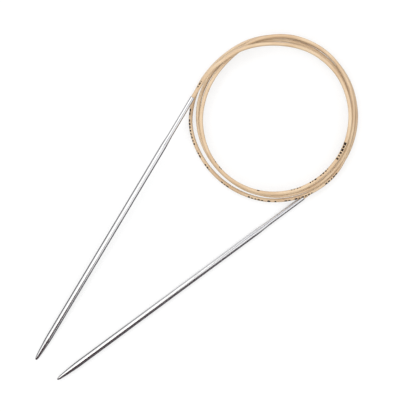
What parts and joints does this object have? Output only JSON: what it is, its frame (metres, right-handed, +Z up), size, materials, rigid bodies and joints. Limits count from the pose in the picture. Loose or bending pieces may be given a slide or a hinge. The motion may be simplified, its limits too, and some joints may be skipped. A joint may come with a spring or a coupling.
{
  "type": "circular knitting needle",
  "caption": "Circular knitting needle: two plated metal tips joined by one long flexible plastic cord, shown coiled with the tips leading out together.",
  "frame": {"origin": "centre of the coil of cord, on the table it lies on", "axes": "+Z up from the table; +X right and +Y away from the needles' points, seen from above with the points at the lower left"},
  "size_m": [0.1339, 0.1434, 0.0095],
  "materials": {
    "needle_nickel": "mirror-bright nickel plate on brass, with faint lengthwise polishing lines",
    "cord": "semi-gloss tan nylon, slightly translucent",
    "glue": "clear set adhesive"
  },
  "bodies": {
    "coil_middle": {"cord_12": "cord"},
    "coil_01": {"cord_01": "cord"},
    "coil_02": {"cord_02": "cord"},
    "coil_03": {"cord_03": "cord"},
    "coil_04": {"cord_04": "cord"},
    "coil_05": {"cord_05": "cord"},
    "coil_06": {"cord_06": "cord"},
    "coil_07": {"cord_07": "cord"},
    "coil_08": {"cord_08": "cord"},
    "coil_09": {"cord_09": "cord"},
    "coil_10": {"cord_10": "cord"},
    "coil_11": {"cord_11": "cord"},
    "coil_13": {"cord_13": "cord"},
    "coil_14": {"cord_14": "cord"},
    "coil_15": {"cord_15": "cord"},
    "coil_16": {"cord_16": "cord"},
    "coil_17": {"cord_17": "cord"},
    "coil_18": {"cord_18": "cord"},
    "coil_19": {"cord_19": "cord"},
    "coil_20": {"cord_20": "cord"},
    "coil_21": {"cord_21": "cord"},
    "coil_22": {"cord_22": "cord"},
    "coil_23": {"cord_23": "cord"},
    "coil_24": {"cord_24": "cord"},
    "left_lead": {"cord_left_lead": "cord"},
    "left_neck": {"cord_left_neck": "cord"},
    "left_needle": {"left_shaft": "needle_nickel", "left_bond": "glue", "cord_left_end": "cord"},
    "right_needle": {"right_shaft": "needle_nickel", "right_bond": "glue", "cord_right_end": "cord"}
  },
  "joints": [
    {"name": "coil_opening", "type": "hinge", "parent": "coil_middle", "child": "coil_13", "pos_m": [-0.02257, -0.02123, 0.00479], "axis": [0, 0, 1], "range_deg": [0, 50]},
    {"name": "coil_bend_13", "type": "hinge", "parent": "coil_13", "child": "coil_14", "pos_m": [-0.031, 0.00536, 0.00449], "axis": [0, 0, 1], "range_deg": [0, 50]},
    {"name": "coil_bend_14", "type": "hinge", "parent": "coil_14", "child": "coil_15", "pos_m": [-0.01457, 0.02844, 0.0042], "axis": [0, 0, 1], "range_deg": [0, 50]},
    {"name": "coil_bend_15", "type": "hinge", "parent": "coil_15", "child": "coil_16", "pos_m": [0.01436, 0.02952, 0.0039], "axis": [0, 0, 1], "range_deg": [0, 50]},
    {"name": "coil_bend_16", "type": "hinge", "parent": "coil_16", "child": "coil_17", "pos_m": [0.03197, 0.00621, 0.00361], "axis": [0, 0, 1], "range_deg": [0, 50]},
    {"name": "coil_bend_17", "type": "hinge", "parent": "coil_17", "child": "coil_18", "pos_m": [0.02549, -0.023, 0.00331], "axis": [0, 0, 1], "range_deg": [0, 50]},
    {"name": "coil_bend_18", "type": "hinge", "parent": "coil_18", "child": "coil_19", "pos_m": [-0.00304, -0.03391, 0.00302], "axis": [0, 0, 1], "range_deg": [0, 50]},
    {"name": "coil_bend_19", "type": "hinge", "parent": "coil_19", "child": "coil_20", "pos_m": [-0.02873, -0.01782, 0.00272], "axis": [0, 0, 1], "range_deg": [0, 50]},
    {"name": "coil_bend_20", "type": "hinge", "parent": "coil_20", "child": "coil_21", "pos_m": [-0.0314, 0.01221, 0.00243], "axis": [0, 0, 1], "range_deg": [0, 50]},
    {"name": "coil_bend_21", "type": "hinge", "parent": "coil_21", "child": "coil_22", "pos_m": [-0.00907, 0.03229, 0.00213], "axis": [0, 0, 1], "range_deg": [0, 50]},
    {"name": "coil_bend_22", "type": "hinge", "parent": "coil_22", "child": "coil_23", "pos_m": [0.02109, 0.02761, 0.00184], "axis": [0, 0, 1], "range_deg": [0, 50]},
    {"name": "coil_bend_23", "type": "hinge", "parent": "coil_23", "child": "coil_24", "pos_m": [0.03429, -0.00026, 0.00154], "axis": [0, 0, 1], "range_deg": [0, 50]},
    {"name": "coil_bend_11", "type": "hinge", "parent": "coil_middle", "child": "coil_11", "pos_m": [0.00357, -0.03224, 0.00508], "axis": [0, 0, -1], "range_deg": [0, 50]},
    {"name": "coil_bend_10", "type": "hinge", "parent": "coil_11", "child": "coil_10", "pos_m": [0.02839, -0.01681, 0.00538], "axis": [0, 0, -1], "range_deg": [0, 50]},
    {"name": "coil_bend_09", "type": "hinge", "parent": "coil_10", "child": "coil_09", "pos_m": [0.03133, 0.01294, 0.00567], "axis": [0, 0, -1], "range_deg": [0, 50]},
    {"name": "coil_bend_08", "type": "hinge", "parent": "coil_09", "child": "coil_08", "pos_m": [0.00863, 0.03337, 0.00597], "axis": [0, 0, -1], "range_deg": [0, 50]},
    {"name": "coil_bend_07", "type": "hinge", "parent": "coil_08", "child": "coil_07", "pos_m": [-0.019, 0.02383, 0.00626], "axis": [0, 0, -1], "range_deg": [0, 50]},
    {"name": "coil_bend_06", "type": "hinge", "parent": "coil_07", "child": "coil_06", "pos_m": [-0.03, -0.00085, 0.00656], "axis": [0, 0, -1], "range_deg": [0, 50]},
    {"name": "coil_bend_05", "type": "hinge", "parent": "coil_06", "child": "coil_05", "pos_m": [-0.01793, -0.02532, 0.00685], "axis": [0, 0, -1], "range_deg": [0, 50]},
    {"name": "coil_bend_04", "type": "hinge", "parent": "coil_05", "child": "coil_04", "pos_m": [0.00955, -0.02982, 0.00715], "axis": [0, 0, -1], "range_deg": [0, 50]},
    {"name": "coil_bend_03", "type": "hinge", "parent": "coil_04", "child": "coil_03", "pos_m": [0.02978, -0.01036, 0.00744], "axis": [0, 0, -1], "range_deg": [0, 50]},
    {"name": "coil_bend_02", "type": "hinge", "parent": "coil_03", "child": "coil_02", "pos_m": [0.02646, 0.01777, 0.00774], "axis": [0, 0, -1], "range_deg": [0, 50]},
    {"name": "coil_bend_01", "type": "hinge", "parent": "coil_02", "child": "coil_01", "pos_m": [0.00164, 0.03056, 0.00803], "axis": [0, 0, -1], "range_deg": [0, 50]},
    {"name": "left_needle_rise", "type": "hinge", "parent": "coil_01", "child": "left_lead", "pos_m": [-0.02477, 0.02078, 0.00833], "axis": [-0.7056, 0.7086, 0], "range_deg": [0, 8]},
    {"name": "left_needle_swing", "type": "hinge", "parent": "left_lead", "child": "left_neck", "pos_m": [-0.02882, 0.01598, 0.00839], "axis": [0, 0, -1], "range_deg": [0, 60]},
    {"name": "left_needle_lift", "type": "hinge", "parent": "left_neck", "child": "left_needle", "pos_m": [-0.03188, 0.01103, 0.00841], "axis": [-0.8577, 0.5142, 0], "range_deg": [0, 60]},
    {"name": "right_needle_swing", "type": "hinge", "parent": "coil_24", "child": "right_needle", "pos_m": [0.02009, -0.02716, 0.00125], "axis": [0, 0, 1], "range_deg": [0, 60]}
  ],
  "couplings": [
    {"joint": "coil_bend_13", "follows": "coil_opening", "ratio": 1},
    {"joint": "coil_bend_14", "follows": "coil_opening", "ratio": 1},
    {"joint": "coil_bend_15", "follows": "coil_opening", "ratio": 1},
    {"joint": "coil_bend_16", "follows": "coil_opening", "ratio": 1},
    {"joint": "coil_bend_17", "follows": "coil_opening", "ratio": 1},
    {"joint": "coil_bend_18", "follows": "coil_opening", "ratio": 1},
    {"joint": "coil_bend_19", "follows": "coil_opening", "ratio": 1},
    {"joint": "coil_bend_20", "follows": "coil_opening", "ratio": 1},
    {"joint": "coil_bend_21", "follows": "coil_opening", "ratio": 1},
    {"joint": "coil_bend_22", "follows": "coil_opening", "ratio": 1},
    {"joint": "coil_bend_23", "follows": "coil_opening", "ratio": 1},
    {"joint": "coil_bend_11", "follows": "coil_opening", "ratio": 1},
    {"joint": "coil_bend_10", "follows": "coil_opening", "ratio": 1},
    {"joint": "coil_bend_09", "follows": "coil_opening", "ratio": 1},
    {"joint": "coil_bend_08", "follows": "coil_opening", "ratio": 1},
    {"joint": "coil_bend_07", "follows": "coil_opening", "ratio": 1},
    {"joint": "coil_bend_06", "follows": "coil_opening", "ratio": 1},
    {"joint": "coil_bend_05", "follows": "coil_opening", "ratio": 1},
    {"joint": "coil_bend_04", "follows": "coil_opening", "ratio": 1},
    {"joint": "coil_bend_03", "follows": "coil_opening", "ratio": 1},
    {"joint": "coil_bend_02", "follows": "coil_opening", "ratio": 1},
    {"joint": "coil_bend_01", "follows": "coil_opening", "ratio": 1},
    {"joint": "left_needle_rise", "follows": "coil_opening", "ratio": 0.16}
  ]
}
